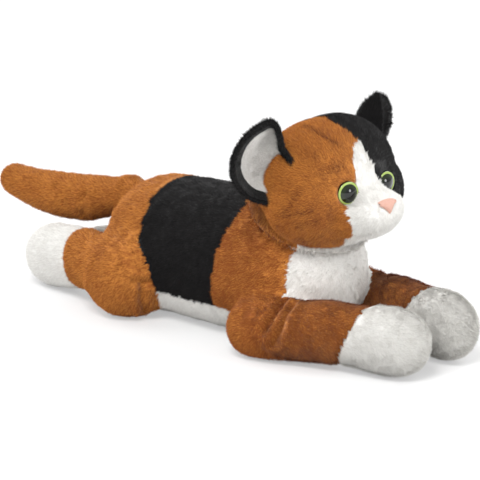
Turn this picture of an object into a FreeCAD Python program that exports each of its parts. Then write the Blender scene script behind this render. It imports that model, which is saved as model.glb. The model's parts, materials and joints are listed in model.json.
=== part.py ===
"""Floppy plush cat, lying on its belly with its legs stretched out.

The frame has +X towards the nose, +Y towards the cat's own left side and +Z up. Its origin is on
the surface that the cat lies on, below the middle of its length from tail tip to front toes.
Every length is in millimetres and every angle in degrees.

Each sewn part is made the same way: an outer form, the same form shrunk by the thickness of the
pile fabric, and the skin between them, which planes then cut into the panels it was sewn from.
Limbs, tail and head have ball-shaped roots that sit in dishes in the trunk, so they turn freely.
"""
import FreeCAD, Part

import math
import os
import re

import Sketcher

Vector = FreeCAD.Vector
doc = FreeCAD.newDocument("PlushCat")

# ------------------------------------------------------------------------------ driving sizes
SIZES = [
    ("skin", 2.0, "thickness of the pile fabric with its backing"),
    ("ease", 0.3, "gap between two pieces that move against each other"),
    ("fill_gap", 0.2, "gap between a skin and the stuffing in it"),
    ("cutter", 400.0, "edge of the blocks that part one panel from the next"),
    # trunk
    ("rump_x", -39.64, "centre of the rump along the length"),
    ("rump_z", 50.5, "centre of the rump above the ground"),
    ("rump_radius", 51.5, "roundness of the rump"),
    ("chest_forward", 121.7, "centre of the chest ahead of the rump"),
    ("chest_rise", 3.0, "centre of the chest above the centre of the rump"),
    ("chest_radius", 54.5, "roundness of the chest"),
    ("belly_line", 26.0, "height of the seam between the white belly and the back"),
    ("saddle_rear", 12.0, "rear seam of the black saddle ahead of the rump's centre"),
    ("saddle_width", 76.5, "rear seam to front seam of the saddle, at the belly line's level"),
    ("saddle_lean", 20.0, "forward lean of the front seam of the saddle"),
    ("bib_depth", 31.8, "seam of the white bib ahead of the chest's centre"),
    ("pouch_length", 84.0, "bean bag in the belly, along the cat"),
    ("pouch_width", 56.0, "bean bag, across"),
    ("pouch_height", 26.0, "bean bag, upright"),
    ("pouch_cloth", 0.6, "thickness of the bean bag's cloth"),
    ("pouch_lift", 5.0, "bean bag above the inside of the belly skin"),
    # head
    ("head_forward", 36.8, "centre of the head ahead of the chest's centre"),
    ("head_rise", 74.0, "centre of the head above the chest's centre"),
    ("cranium_depth", 36.0, "half size of the top of the head, fore and aft"),
    ("cranium_width", 55.5, "half size, across"),
    ("cranium_height", 46.0, "half size, upright"),
    ("cranium_lift", 0.5, "centre of the top of the head above the head's centre"),
    ("cheek_depth", 37.5, "half size of the cheeks, fore and aft"),
    ("cheek_width", 62.0, "half size, across"),
    ("cheek_height", 36.0, "half size, upright"),
    ("cheek_forward", 3.0, "centre of the cheeks ahead of the head's centre"),
    ("cheek_drop", 12.0, "centre of the cheeks below the head's centre"),
    ("nape_depth", 40.5, "half size of the back of the head, fore and aft"),
    ("nape_width", 53.0, "half size, across"),
    ("nape_height", 44.0, "half size, upright"),
    ("nape_back", 9.5, "centre of the back of the head behind the head's centre"),
    ("nape_drop", 2.0, "centre of the back of the head below the head's centre"),
    ("muzzle_depth", 24.0, "half size of the muzzle, fore and aft"),
    ("muzzle_width", 33.0, "half size, across"),
    ("muzzle_height", 19.5, "half size, upright"),
    ("muzzle_forward", 31.0, "centre of the muzzle ahead of the head's centre"),
    ("muzzle_drop", 18.0, "centre of the muzzle below the head's centre"),
    ("blaze_top", 36.0, "point of the white blaze above the head's centre"),
    ("blaze_half", 12.5, "half width of the white face between the eyes"),
    ("blaze_level", 6.0, "height of that width above the head's centre"),
    ("face_half", 29.0, "half width of the white face at the muzzle"),
    ("face_level", 14.0, "height of that width below the head's centre"),
    # collar fold round the neck
    ("collar_side", 68.5, "half width of the hollow that the head sits in"),
    ("collar_round", 51.0, "radius of that hollow seen from the side"),
    ("collar_cloth", 2.0, "thickness of the collar fold below and beside the head"),
    ("collar_lip", 6.0, "height of the fold outside the trunk"),
    ("collar_hole", 26.0, "radius of the neck opening inside the fold"),
    ("collar_tilt", 35.0, "tilt of the neck from upright, towards the nose"),
    # eyes
    ("eye_radius", 8.8, "radius of a moulded eye"),
    ("eye_dome", 6.2, "height of its dome"),
    ("eye_rim", 1.2, "thickness of its flat back"),
    ("eye_side", 21.8, "eye's centre from the middle of the face"),
    ("eye_rise", -0.8, "eye's centre above the head's centre"),
    ("eye_turn", 16.0, "turn of each eye away from straight ahead"),
    ("eye_seat", 1.4, "depth that the eye's back is pulled into the face"),
    ("post_radius", 2.3, "radius of the post behind the eye"),
    ("post_length", 13.0, "length of the post"),
    ("ridge_height", 0.35, "height of the ridges that hold the washer"),
    ("ridge_pitch", 2.0, "distance from one ridge to the next"),
    ("washer_radius", 7.0, "radius of the locking washer"),
    ("washer_plate", 1.2, "thickness of the washer"),
    ("washer_slot", 0.8, "width of a slot between two of its teeth"),
    ("washer_reach", 2.4, "length of such a slot"),
    # nose
    ("nose_half", 8.5, "half width of the stitched nose along its top"),
    ("nose_drop", 11.0, "height of the stitched nose"),
    ("nose_top", 6.5, "top of the nose below the head's centre"),
    ("nose_pile", 1.0, "thickness of the stitches"),
    # ears
    ("ear_turn", 50.0, "turn of an ear's opening away from straight ahead"),
    ("ear_lean", 30.4, "lean of the ear's base from upright"),
    ("ear_ahead", 36.6, "plane of the ear's opening from the head's centre"),
    ("ear_out", 42.0, "middle of the ear's base, out along that plane"),
    ("ear_up", 14.0, "middle of the ear's base above the head's centre"),
    ("ear_base", 22.0, "half length of the ear's base"),
    ("ear_tip_up", 32.5, "tip of the ear along the direction of its base"),
    ("ear_tip_out", 23.0, "tip of the ear away from its base"),
    ("ear_back_out", 30.5, "widest point of the ear away from its base"),
    ("ear_back_up", -3.3, "that point along the direction of the base"),
    ("ear_inner_round", 62.0, "radius of the ear's inner edge"),
    ("ear_top_round", 26.5, "radius of the ear's upper outer edge"),
    ("ear_outer_round", 30.0, "radius of the ear's lower outer edge"),
    ("ear_sunk", 12.0, "length of the blank below the base, before it is fitted to the head"),
    ("cup_up", 32.0, "half size of the ear's cup along its base"),
    ("cup_out", 34.0, "half size of the cup away from its base"),
    ("cup_depth", 26.0, "half size of the cup, front to back"),
    ("cup_shift_up", 6.0, "centre of the cup along the base"),
    ("cup_shift_out", 8.0, "centre of the cup away from the base"),
    ("cup_shift_front", 10.0, "centre of the cup in front of the opening"),
    ("lining", 1.4, "thickness of the ear's lining"),
    ("lining_margin", 3.0, "black edge of the ear round its lining"),
    ("ear_gap", 0.4, "gap between an ear and the head"),
    ("ear_swing", 10.0, "angle that an ear folds back"),
    ("ear_pivot", 6.0, "fold line of an ear behind its opening"),
    # front legs
    ("shoulder_forward", 14.0, "shoulder ahead of the chest's centre"),
    ("shoulder_side", 56.0, "shoulder from the middle of the cat"),
    ("shoulder_z", 22.5, "shoulder above the ground"),
    ("elbow_radius", 21.0, "radius of the leg's round root"),
    ("wrist_at", 75.0, "wrist seam from the shoulder"),
    ("wrist_radius", 18.7, "radius of the leg there"),
    ("front_heel_at", 88.0, "start of the plump front paw from the shoulder"),
    ("front_heel_radius", 19.8, "radius of the paw there"),
    ("front_paw_at", 109.0, "widest place of the front paw from the shoulder"),
    ("front_paw_radius", 21.0, "radius of the paw there"),
    ("front_toe_at", 117.0, "centre of the rounded toes from the shoulder"),
    ("front_toe_radius", 19.0, "radius of the toes"),
    ("front_swing", 45.0, "angle that a front leg can swing outwards"),
    ("right_toe_in", 15.3, "turn of the right front leg towards the middle"),
    ("left_toe_in", 13.5, "turn of the left front leg towards the middle"),
    # hind legs
    ("hip_back", 8.3, "hip behind the rump's centre"),
    ("hip_side", 44.0, "hip from the middle of the cat"),
    ("hip_z", 33.5, "hip above the ground"),
    ("haunch_radius", 33.0, "radius of the round haunch"),
    ("shank_at", 22.5, "start of the lower hind leg from the hip"),
    ("shank_radius", 18.8, "radius of the lower hind leg there"),
    ("ankle_at", 62.0, "ankle seam from the hip"),
    ("hind_paw_at", 99.0, "widest place of the hind paw from the hip"),
    ("hind_paw_radius", 20.4, "radius of the paw there"),
    ("hind_toe_at", 109.5, "centre of the rounded toes from the hip"),
    ("hind_toe_radius", 17.6, "radius of the toes"),
    ("hind_toe_in", 9.8, "turn of a hind leg towards the middle"),
    ("hind_droop", 7.0, "slope of a hind leg down to its paw"),
    # tail
    ("tail_back", 49.2, "root of the tail behind the rump's centre"),
    ("tail_rise", 30.0, "root of the tail above the rump's centre"),
    ("tail_root_radius", 13.5, "radius of the tail's round root"),
    ("tail_neck_radius", 12.3, "radius just behind the root"),
    ("tail_length", 133.0, "root to the centre of the rounded tip"),
    ("tail_mid_radius", 14.0, "radius half way along"),
    ("tail_tip_radius", 9.0, "radius of the tip"),
    ("tail_fall", 20.0, "slope of the tail down from its root"),
    ("tail_lift", 10.0, "slope of the tail up at its tip"),
]

ALIASES = {alias for alias, _, _ in SIZES}
sheet = doc.addObject("Spreadsheet::Sheet", "Sizes")
for row, (alias, value, meaning) in enumerate(SIZES, start=1):
    sheet.set(f"A{row}", alias)
    sheet.set(f"B{row}", str(value))
    sheet.set(f"C{row}", meaning)
    sheet.setAlias(f"B{row}", alias)
doc.recompute()


def cells(formula):
    """Turn a formula on aliases, such as 'rump_z + skin', into one on the sheet's cells."""
    return re.sub(r"[a-z]\w*", lambda word: f"Sizes.{word[0]}" if word[0] in ALIASES else word[0], formula)


def number(formula):
    """The present value of such a formula, worked out in a spare cell of the sheet."""
    sheet.set("E1", f"={formula}")
    sheet.recompute()
    return float(sheet.get("E1"))


# ------------------------------------------------------------------------------ shared places
RUMP = ("rump_x", "0", "rump_z")
CHEST = ("rump_x + chest_forward", "0", "rump_z + chest_rise")
HEAD = (f"{CHEST[0]} + head_forward", "0", f"{CHEST[2]} + head_rise")
TAIL_ROOT = ("rump_x - tail_back", "0", "rump_z + tail_rise")
SIDES = {"left": 1, "right": -1}


def shoulder(side):
    return (f"{CHEST[0]} + shoulder_forward", f"{SIDES[side]} * shoulder_side", "shoulder_z")


def hip(side):
    return ("rump_x - hip_back", f"{SIDES[side]} * hip_side", "hip_z")


def hind_turns(side):
    """Yaw and pitch that point a hind leg backwards, inwards and a little down."""
    return [f"180 + {SIDES[side]} * hind_toe_in", "hind_droop"]


# ------------------------------------------------------------------------------ building blocks
def placed(thing, place, yaw="0", pitch="0", roll="0"):
    """Put a thing at a place, turned about Z, then its own Y, then its own X."""
    x, y, z = place
    formula = f"placement(vector({x}; {y}; {z}); rotation({yaw}; {pitch}; {roll}))"
    thing.setExpression("Placement", cells(formula))
    return thing


def ellipsoid(name, place, half_sizes, yaw="0", pitch="0", roll="0"):
    """An ellipsoid from its half sizes along X, Y and Z."""
    thing = doc.addObject("Part::Ellipsoid", name)
    depth, width, height = half_sizes
    thing.setExpression("Radius1", cells(height))
    thing.setExpression("Radius2", cells(depth))
    thing.setExpression("Radius3", cells(width))
    return placed(thing, place, yaw, pitch, roll)


def ball(name, place, radius):
    thing = doc.addObject("Part::Sphere", name)
    thing.setExpression("Radius", cells(radius))
    return placed(thing, place)


def rod(name, place, radius, length, yaw="0", pitch="0"):
    """A cylinder from a place along Z, before it is turned."""
    thing = doc.addObject("Part::Cylinder", name)
    thing.setExpression("Radius", cells(radius))
    thing.setExpression("Height", cells(length))
    return placed(thing, place, yaw, pitch)


def block(name, place, pitch="0"):
    """A large block that fills the +X side of the plane through a place."""
    thing = doc.addObject("Part::Box", name)
    for edge in ("Length", "Width", "Height"):
        thing.setExpression(edge, cells("cutter"))
    x, y, z = place
    turn = f"placement(vector({x}; {y}; {z}); rotation(0; {pitch}; 0))"
    slide = "placement(vector(0; -cutter / 2; -cutter / 2); rotation(0; 0; 0))"
    thing.setExpression("Placement", cells(f"{turn} * {slide}"))
    return thing


def cut(name, base, tool):
    thing = doc.addObject("Part::Cut", name)
    thing.Base = base
    thing.Tool = tool
    return thing


def common(name, first, second):
    thing = doc.addObject("Part::MultiCommon", name)
    thing.Shapes = [first, second]
    return thing


def fused(name, *things):
    thing = doc.addObject("Part::MultiFuse", name)
    thing.Shapes = list(things)
    return thing


def copy_of(name, thing):
    """The same shape once more, to be put in a place of its own."""
    copy = doc.addObject("Part::Compound", name)
    copy.Links = [thing]
    return copy


def cut_all(name, base, *tools):
    """Cut several tools from a base, one after the other."""
    for count, tool in enumerate(tools, start=1):
        base = cut(name if count == len(tools) else f"{name}_less_{count}", base, tool)
    return base


def sketch_on(body, role, name):
    """A sketch on one of a body's own origin planes."""
    sketch = body.newObject("Sketcher::SketchObject", name)
    plane = next(plane for plane in body.Origin.OriginFeatures if plane.Role == role)
    sketch.AttachmentSupport = (plane, [""])
    sketch.MapMode = "FlatFace"
    return sketch


def driven(sketch, kind, *links):
    """Add a dimension to a sketch; the last of the links is its formula."""
    formula = links[-1]
    index = sketch.addConstraint(Sketcher.Constraint(kind, *links[:-1], number(formula)))
    sketch.setExpression(f"Constraints[{index}]", cells(formula))


def pinned(sketch, kind, axis, side, end, formula):
    """Hold one end of a side at a distance from the origin, or on the axis itself."""
    if formula == "0":
        sketch.addConstraint(Sketcher.Constraint("PointOnObject", side, end, axis))
    else:
        driven(sketch, kind, -1, 1, side, end, formula)


def ball_chain(name, balls, grow="0"):
    """Turn the outline round a row of balls on the X axis, joined by tangent cones.

    Each ball is (place on the axis, radius); the first one sits at the origin. Every radius
    grows by the same amount, so two chains with different growth are a skin's thickness apart.
    """
    body = doc.addObject("PartDesign::Body", name)
    sketch = sketch_on(body, "XZ_Plane", f"{name}_outline")
    places = [number(place) for place, _ in balls]
    radii = [number(f"{radius} + {grow}") for _, radius in balls]
    pairs = list(zip(places, places[1:], radii, radii[1:]))
    leans = [math.asin((near - far) / (there - here)) for here, there, near, far in pairs]
    starts = [math.pi] + [math.pi / 2 - lean for lean in leans]
    ends = [math.pi / 2 - lean for lean in leans] + [0.0]
    up = Vector(0, 0, 1)
    arcs = []
    for place, radius, left, right in zip(places, radii, starts, ends):
        circle = Part.Circle(Vector(place, 0, 0), up, radius)
        arcs.append(sketch.addGeometry(Part.ArcOfCircle(circle, right, left), False))
    for arc, (place, radius) in zip(arcs, balls):
        if place == "0":
            sketch.addConstraint(Sketcher.Constraint("Coincident", arc, 3, -1, 1))
        else:
            sketch.addConstraint(Sketcher.Constraint("PointOnObject", arc, 3, -1))
            driven(sketch, "DistanceX", -1, 1, arc, 3, place)
        driven(sketch, "Radius", arc, f"{radius} + {grow}")
    for arc, following in zip(arcs, arcs[1:]):
        near = sketch.getPoint(arc, 1)
        far = sketch.getPoint(following, 2)
        line = sketch.addGeometry(Part.LineSegment(near, far), False)
        sketch.addConstraint(Sketcher.Constraint("Tangent", arc, 1, line, 1))
        sketch.addConstraint(Sketcher.Constraint("Tangent", line, 2, following, 2))
    first = sketch.getPoint(arcs[0], 2)
    last = sketch.getPoint(arcs[-1], 1)
    axis = sketch.addGeometry(Part.LineSegment(last, first), False)
    sketch.addConstraint(Sketcher.Constraint("Coincident", axis, 1, arcs[-1], 1))
    sketch.addConstraint(Sketcher.Constraint("Coincident", axis, 2, arcs[0], 2))
    sketch.addConstraint(Sketcher.Constraint("PointOnObject", arcs[-1], 1, -1))
    sketch.addConstraint(Sketcher.Constraint("PointOnObject", arcs[0], 2, -1))
    turned = body.newObject("PartDesign::Revolution", f"{name}_turned")
    turned.Profile = sketch
    turned.ReferenceAxis = (sketch, ["H_Axis"])
    turned.Angle = 360
    return body


def drawn_outline(body, role, name, corners, rounds):
    """A closed outline through corners, each side straight or an arc of the given radius."""
    sketch = sketch_on(body, role, name)
    spots = [Vector(number(x), number(y), 0) for x, y in corners]
    sides = []
    for start, end, radius in zip(spots, spots[1:] + spots[:1], rounds):
        if radius is None:
            sides.append((sketch.addGeometry(Part.LineSegment(start, end), False), 1, 2))
            continue
        chord = end - start
        size = number(radius)
        rise = math.sqrt(size ** 2 - (chord.Length / 2) ** 2)
        inward = Vector(-chord.y, chord.x, 0).normalize()
        centre = (start + end) / 2 + inward * rise
        angles = [math.atan2(spot.y - centre.y, spot.x - centre.x) for spot in (start, end)]
        circle = Part.Circle(centre, Vector(0, 0, 1), size)
        sides.append((sketch.addGeometry(Part.ArcOfCircle(circle, *angles), False), 1, 2))
    for (side, _, last), (after, first, _) in zip(sides, sides[1:] + sides[:1]):
        sketch.addConstraint(Sketcher.Constraint("Coincident", side, last, after, first))
    for (side, first, _), (x, y), radius in zip(sides, corners, rounds):
        pinned(sketch, "DistanceX", -2, side, first, x)
        pinned(sketch, "DistanceY", -1, side, first, y)
        if radius is not None:
            driven(sketch, "Radius", side, radius)
    return sketch


def prism(name, role, corners, rounds, length):
    """Extrude an outline both ways from one of the origin planes."""
    body = doc.addObject("PartDesign::Body", name)
    pad = body.newObject("PartDesign::Pad", f"{name}_pad")
    pad.Profile = drawn_outline(body, role, f"{name}_outline", corners, rounds)
    pad.setExpression("Length", cells(length))
    pad.Midplane = True
    return body


# ------------------------------------------------------------------------------ head forms
def muzzle_form(name, grow):
    x, _, z = HEAD
    return ellipsoid(name, (f"{x} + muzzle_forward", "0", f"{z} - muzzle_drop"),
                     [f"muzzle_{way} + {grow}" for way in ("depth", "width", "height")])


def head_form(name, grow):
    """Top of the head, its back, cheeks and muzzle as one form."""
    x, _, z = HEAD
    top = ellipsoid(f"{name}_top", (x, "0", f"{z} + cranium_lift"),
                    [f"cranium_{way} + {grow}" for way in ("depth", "width", "height")])
    cheeks = ellipsoid(f"{name}_cheeks", (f"{x} + cheek_forward", "0", f"{z} - cheek_drop"),
                       [f"cheek_{way} + {grow}" for way in ("depth", "width", "height")])
    nape = ellipsoid(f"{name}_nape", (f"{x} - nape_back", "0", f"{z} - nape_drop"),
                     [f"nape_{way} + {grow}" for way in ("depth", "width", "height")])
    return fused(name, top, cheeks, nape, muzzle_form(f"{name}_muzzle", grow))


# ------------------------------------------------------------------------------ limb forms
LEG_BALLS = [("0", "elbow_radius"), ("wrist_at", "wrist_radius")]
PAW_BALLS = [("0", "front_heel_radius"), ("front_paw_at - front_heel_at", "front_paw_radius"),
             ("front_toe_at - front_heel_at", "front_toe_radius")]
SHANK_BALLS = [("0", "shank_radius"), ("hind_paw_at - shank_at", "hind_paw_radius"),
               ("hind_toe_at - shank_at", "hind_toe_radius")]


def front_form(name, grow):
    """A tapered leg and a plumper paw, the shoulder at the origin."""
    leg = ball_chain(f"{name}_leg", LEG_BALLS, grow)
    paw = placed(ball_chain(f"{name}_paw", PAW_BALLS, grow), ("front_heel_at", "0", "0"))
    return fused(name, leg, paw)


def swept_leg(name, grow):
    """The room of a front leg on its way outwards, half of it on each side of the X axis."""
    body = doc.addObject("PartDesign::Body", name)
    root = f"(elbow_radius + {grow})"
    wrist = f"(wrist_radius + {grow})"
    corners = [("0", f"-{root}"), ("wrist_at", f"-{wrist}"), ("wrist_at", wrist), ("0", root)]
    fan = body.newObject("PartDesign::Revolution", f"{name}_fan")
    fan.Profile = drawn_outline(body, "XZ_Plane", f"{name}_outline", corners, [None] * 4)
    fan.ReferenceAxis = (fan.Profile[0], ["V_Axis"])
    fan.setExpression("Angle", cells("front_swing"))
    fan.Midplane = True
    return body


def hind_form(name, grow):
    """A round haunch with the lower leg growing out of it, the hip at the origin."""
    shank = placed(ball_chain(f"{name}_shank", SHANK_BALLS, grow), ("shank_at", "0", "0"))
    haunch = ball(f"{name}_haunch", ("0", "0", "0"), f"haunch_radius + {grow}")
    return fused(name, haunch, shank)


def limb(kind, side, form, place, turns):
    """Sleeve, paw and stuffing of one limb, drawn from its root and put in place."""
    skin, beyond, fill = form
    placed(cut(f"{kind}_sleeve_{side}", skin, beyond), place, *turns)
    placed(common(f"{kind}_paw_{side}", skin, beyond), place, *turns)
    placed(copy_of(f"{kind}_stuffing_{side}", fill), place, *turns)


def limb_form(kind, make, seam_at):
    """The skin of a limb, the block beyond its seam and its stuffing, with the root at the origin."""
    skin = cut(f"{kind}_skin", make(f"{kind}_outer", "0"), make(f"{kind}_inner", "-skin"))
    beyond = block(f"{kind}_beyond_seam", (seam_at, "0", "0"))
    return skin, beyond, make(f"{kind}_fill", "-skin - fill_gap")


front_limb = limb_form("front", front_form, "wrist_at")
hind_limb = limb_form("hind", hind_form, "ankle_at")
for side, sign in SIDES.items():
    limb("front", side, front_limb, shoulder(side), [f"{-sign} * {side}_toe_in"])
    limb("hind", side, hind_limb, hip(side), hind_turns(side))


# ------------------------------------------------------------------------------ tail
def tail_form(name, grow):
    """A round tube along an arc that first falls and then lifts, with ball ends."""
    turn = "(tail_fall + tail_lift)"
    bend = f"(tail_length / ({turn} * pi / 180))"
    stations = [("0", "tail_neck_radius"), ("0.12", "tail_neck_radius"), ("0.4", "tail_mid_radius"),
                ("0.7", "0.5 * tail_mid_radius + 0.5 * (tail_mid_radius + tail_tip_radius) / 2"),
                ("1", "tail_tip_radius")]
    body = doc.addObject("PartDesign::Body", f"{name}_tube")
    rings = []
    for count, (share, radius) in enumerate(stations):
        slope = f"({turn} * {share} - tail_fall)"
        along = f"-{bend} * (sin({slope}) + sin(tail_fall))"
        above = f"{bend} * (cos(tail_fall) - cos({slope}))"
        ring = sketch_on(body, "YZ_Plane", f"{name}_ring_{count}")
        spot = f"vector(0; {above}; {along})"
        tilt = f"rotation(vector(1; 0; 0); {slope})"
        ring.setExpression("AttachmentOffset", cells(f"placement({spot}; {tilt})"))
        circle = Part.Circle(Vector(0, 0, 0), Vector(0, 0, 1), number(f"{radius} + {grow}"))
        ring.addGeometry(circle, False)
        ring.addConstraint(Sketcher.Constraint("Coincident", 0, 3, -1, 1))
        driven(ring, "Radius", 0, f"{radius} + {grow}")
        rings.append(ring)
    tube = body.newObject("PartDesign::AdditiveLoft", f"{name}_loft")
    tube.Profile = rings[0]
    tube.Sections = rings[1:]
    root = ball(f"{name}_root", ("0", "0", "0"), f"tail_root_radius + {grow}")
    tip = ball(f"{name}_tip", (along, "0", above), f"tail_tip_radius + {grow}")
    return fused(name, body, root, tip)


placed(cut("tail_skin", tail_form("tail_outer", "0"), tail_form("tail_inner", "-skin")), TAIL_ROOT)
placed(copy_of("tail_stuffing", tail_form("tail_fill", "-skin - fill_gap")), TAIL_ROOT)


# ------------------------------------------------------------------------------ trunk
def trunk_blank(name, grow):
    span = "sqrt(chest_forward ^ 2 + chest_rise ^ 2)"
    chain = ball_chain(name, [("0", "rump_radius"), (span, "chest_radius")], grow)
    return placed(chain, RUMP, "0", "-atan(chest_rise / chest_forward)")


def hollow(name, grow):
    """The hollow round the head that stays the same when the neck turns."""
    return ellipsoid(name, HEAD, [f"{half} + {grow}" for half in ("collar_side", "collar_side", "collar_round")])


def trunk_form(name, grow):
    """The trunk with its flat belly and the dishes for head, legs and tail."""
    room = f"(ease - ({grow}))"
    blank = trunk_blank(f"{name}_blank", grow)
    ground = block(f"{name}_ground", ("0", "0", f"0 - ({grow})"), "90")
    neck = hollow(f"{name}_neck", f"collar_cloth + {room}")
    tail = ball(f"{name}_tail", TAIL_ROOT, f"tail_root_radius + {room}")
    tools = [ground, neck, tail]
    hind_room = hind_form(f"{name}_hind_room", room)
    leg_room = ball_chain(f"{name}_leg_room", LEG_BALLS, room)
    swing_room = swept_leg(f"{name}_swing_room", room)
    for side, sign in SIDES.items():
        rest = f"{-sign} * {side}_toe_in"
        leg = copy_of(f"{name}_shoulder_{side}", leg_room)
        tools.append(placed(leg, shoulder(side), rest))
        fan = copy_of(f"{name}_swing_{side}", swing_room)
        tools.append(placed(fan, shoulder(side), f"{rest} + {sign} * front_swing / 2"))
        dish = copy_of(f"{name}_hip_{side}", hind_room)
        tools.append(placed(dish, hip(side), *hind_turns(side)))
    return cut_all(name, blank, *tools)


trunk_skin = cut("trunk_skin", trunk_form("trunk_outer", "0"), trunk_form("trunk_inner", "-skin"))
bib_block = block("bib_block", (f"{CHEST[0]} + bib_depth", "0", "0"))
belly_block = block("belly_block", ("0", "0", "belly_line"), "90")
rear_seam = ("rump_x + saddle_rear", "0", "0")
front_seam = ("rump_x + saddle_rear + saddle_width", "0", "belly_line")
common("torso_bib_panel", trunk_skin, bib_block)
behind_bib = cut("behind_bib", trunk_skin, bib_block)
common("torso_belly_panel", behind_bib, belly_block)
back = cut("back", behind_bib, belly_block)
ahead_of_rear = block("ahead_of_rear_seam", rear_seam)
ahead_of_saddle = block("ahead_of_saddle", front_seam, "saddle_lean")
cut("torso_rear_panel", back, ahead_of_rear)
back_ahead = common("back_ahead", back, ahead_of_rear)
cut("torso_saddle_panel", back_ahead, ahead_of_saddle)
common("torso_shoulder_panel", back_ahead, ahead_of_saddle)


def pouch(name, grow):
    middle = ("rump_x + chest_forward / 2", "0", "skin + fill_gap + pouch_lift + pouch_height / 2")
    halves = [f"pouch_{way} / 2 + {grow}" for way in ("length", "width", "height")]
    return ellipsoid(name, middle, halves)


pouch_outer = pouch("pouch_outer", "0")
cut("bean_pouch", pouch_outer, pouch("pouch_inner", "-pouch_cloth"))
pouch("bean_fill", "-pouch_cloth - fill_gap")
pouch_room = pouch("pouch_room", "fill_gap")
cut("torso_stuffing", trunk_form("trunk_fill", "-skin - fill_gap"), pouch_room)


# ------------------------------------------------------------------------------ collar fold
head_hollow = ellipsoid("head_hollow", HEAD, ["collar_round", "collar_side", "collar_round"])
bowl = cut("collar_bowl", hollow("collar_outer", "collar_cloth"), head_hollow)
lip = common("collar_in_lip", bowl, trunk_blank("collar_reach_blank", "collar_lip"))
neck_way = rod("neck_way", HEAD, "collar_hole", "cutter", "0", "180 + collar_tilt")
cut("neck_collar", lip, neck_way)


# ------------------------------------------------------------------------------ eyes
def face_point(side):
    """Where an eye's centre lies on the front of the head, and how it is turned."""
    rise = "((eye_rise - cranium_lift) / cranium_height)"
    depth = f"cranium_depth * sqrt(1 - (eye_side / cranium_width) ^ 2 - {rise} ^ 2)"
    return (f"{HEAD[0]} + {depth}", f"{SIDES[side]} * eye_side", f"{HEAD[2]} + eye_rise")


def from_eye(thing, side, back="eye_seat", pitch="0"):
    """Put a thing behind the face by some depth, on the eye's own axis."""
    x, y, z = face_point(side)
    turn = f"rotation({SIDES[side]} * eye_turn; 0; 0)"
    pose = f"placement(vector({x}; {y}; {z}); {turn})"
    sink = f"placement(vector(-({back}); 0; 0); rotation(0; {pitch}; 0))"
    thing.setExpression("Placement", cells(f"{pose} * {sink}"))
    return thing


def moulded_eye(side):
    """Dome, flat back and ridged post, turned in one piece."""
    body = doc.addObject("PartDesign::Body", f"eye_bead_{side}")
    corners = [("-post_length", "0"), ("eye_rim + eye_dome", "0"), ("eye_rim", "eye_radius"),
               ("0", "eye_radius"), ("0", "post_radius"), ("-post_length", "post_radius")]
    dome_round = "(eye_radius ^ 2 + eye_dome ^ 2) / (2 * eye_dome)"
    rounds = [None, dome_round, None, None, None, None]
    turned = body.newObject("PartDesign::Revolution", f"eye_turned_{side}")
    turned.Profile = drawn_outline(body, "XZ_Plane", f"eye_outline_{side}", corners, rounds)
    turned.ReferenceAxis = (turned.Profile[0], ["H_Axis"])
    turned.Angle = 360
    ridges = [body]
    for count in range(4):
        ridge = doc.addObject("Part::Cone", f"eye_ridge_{side}_{count}")
        ridge.setExpression("Radius1", cells("post_radius"))
        ridge.setExpression("Radius2", cells("post_radius + ridge_height"))
        ridge.setExpression("Height", cells("ridge_pitch / 2"))
        start = f"-post_length + {count + 0.5} * ridge_pitch"
        ridges.append(placed(ridge, (start, "0", "0"), "0", "90"))
    return from_eye(fused(f"eye_{side}", *ridges), side)


def locking_washer(side):
    """A disc with slots round its hole, so that its teeth spring over the ridges."""
    body = doc.addObject("PartDesign::Body", f"eye_washer_{side}")
    disc_sketch = sketch_on(body, "YZ_Plane", f"washer_disc_sketch_{side}")
    for radius in ("washer_radius", "post_radius + fill_gap"):
        circle = Part.Circle(Vector(0, 0, 0), Vector(0, 0, 1), number(radius))
        round_edge = disc_sketch.addGeometry(circle, False)
        disc_sketch.addConstraint(Sketcher.Constraint("Coincident", round_edge, 3, -1, 1))
        driven(disc_sketch, "Radius", round_edge, radius)
    disc = body.newObject("PartDesign::Pad", f"washer_disc_{side}")
    disc.Profile = disc_sketch
    disc.setExpression("Length", cells("washer_plate"))
    disc.Reversed = True
    slot = body.newObject("PartDesign::Pocket", f"washer_slot_{side}")
    inner, outer, half = "post_radius", "post_radius + washer_reach", "washer_slot / 2"
    corners = [(inner, f"-{half}"), (outer, f"-{half}"), (outer, half), (inner, half)]
    name = f"washer_slot_sketch_{side}"
    slot.Profile = drawn_outline(body, "YZ_Plane", name, corners, [None] * 4)
    slot.Type = "ThroughAll"
    slot.Midplane = True
    slots = body.newObject("PartDesign::PolarPattern", f"washer_slots_{side}")
    slots.Originals = [slot]
    slots.Axis = (disc_sketch, ["N_Axis"])
    slots.Angle = 360
    slots.Occurrences = 6
    body.Tip = slots
    return from_eye(body, side, "eye_seat + skin")


moulded_eyes = {side: moulded_eye(side) for side in SIDES}
washers = {side: locking_washer(side) for side in SIDES}


# ------------------------------------------------------------------------------ head
def drill(name, side, radius, length, pitch, back="eye_seat"):
    """A rod on the eye's axis, out of the face for a pitch of 90 and into it for -90."""
    thing = doc.addObject("Part::Cylinder", name)
    thing.setExpression("Radius", cells(radius))
    thing.setExpression("Height", cells(length))
    return from_eye(thing, side, back, pitch)


def seated_head(name, grow):
    """The head with a shallow seat where each eye pulls the pile in."""
    form = head_form(f"{name}_form", grow)
    seats = []
    for side in SIDES:
        radius = f"eye_radius + fill_gap - ({grow})"
        seats.append(drill(f"{name}_seat_{side}", side, radius, "4 * eye_dome", "90", f"eye_seat - ({grow})"))
    return cut_all(name, form, *seats)


post_holes = []
eye_pits = []
for side in SIDES:
    post_holes.append(drill(f"post_hole_{side}", side, "post_radius + fill_gap", "post_length", "-90"))
    pit_length = "post_length + 2 * fill_gap"
    eye_pits.append(drill(f"eye_pit_{side}", side, "washer_radius + fill_gap", pit_length, "-90"))

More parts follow.
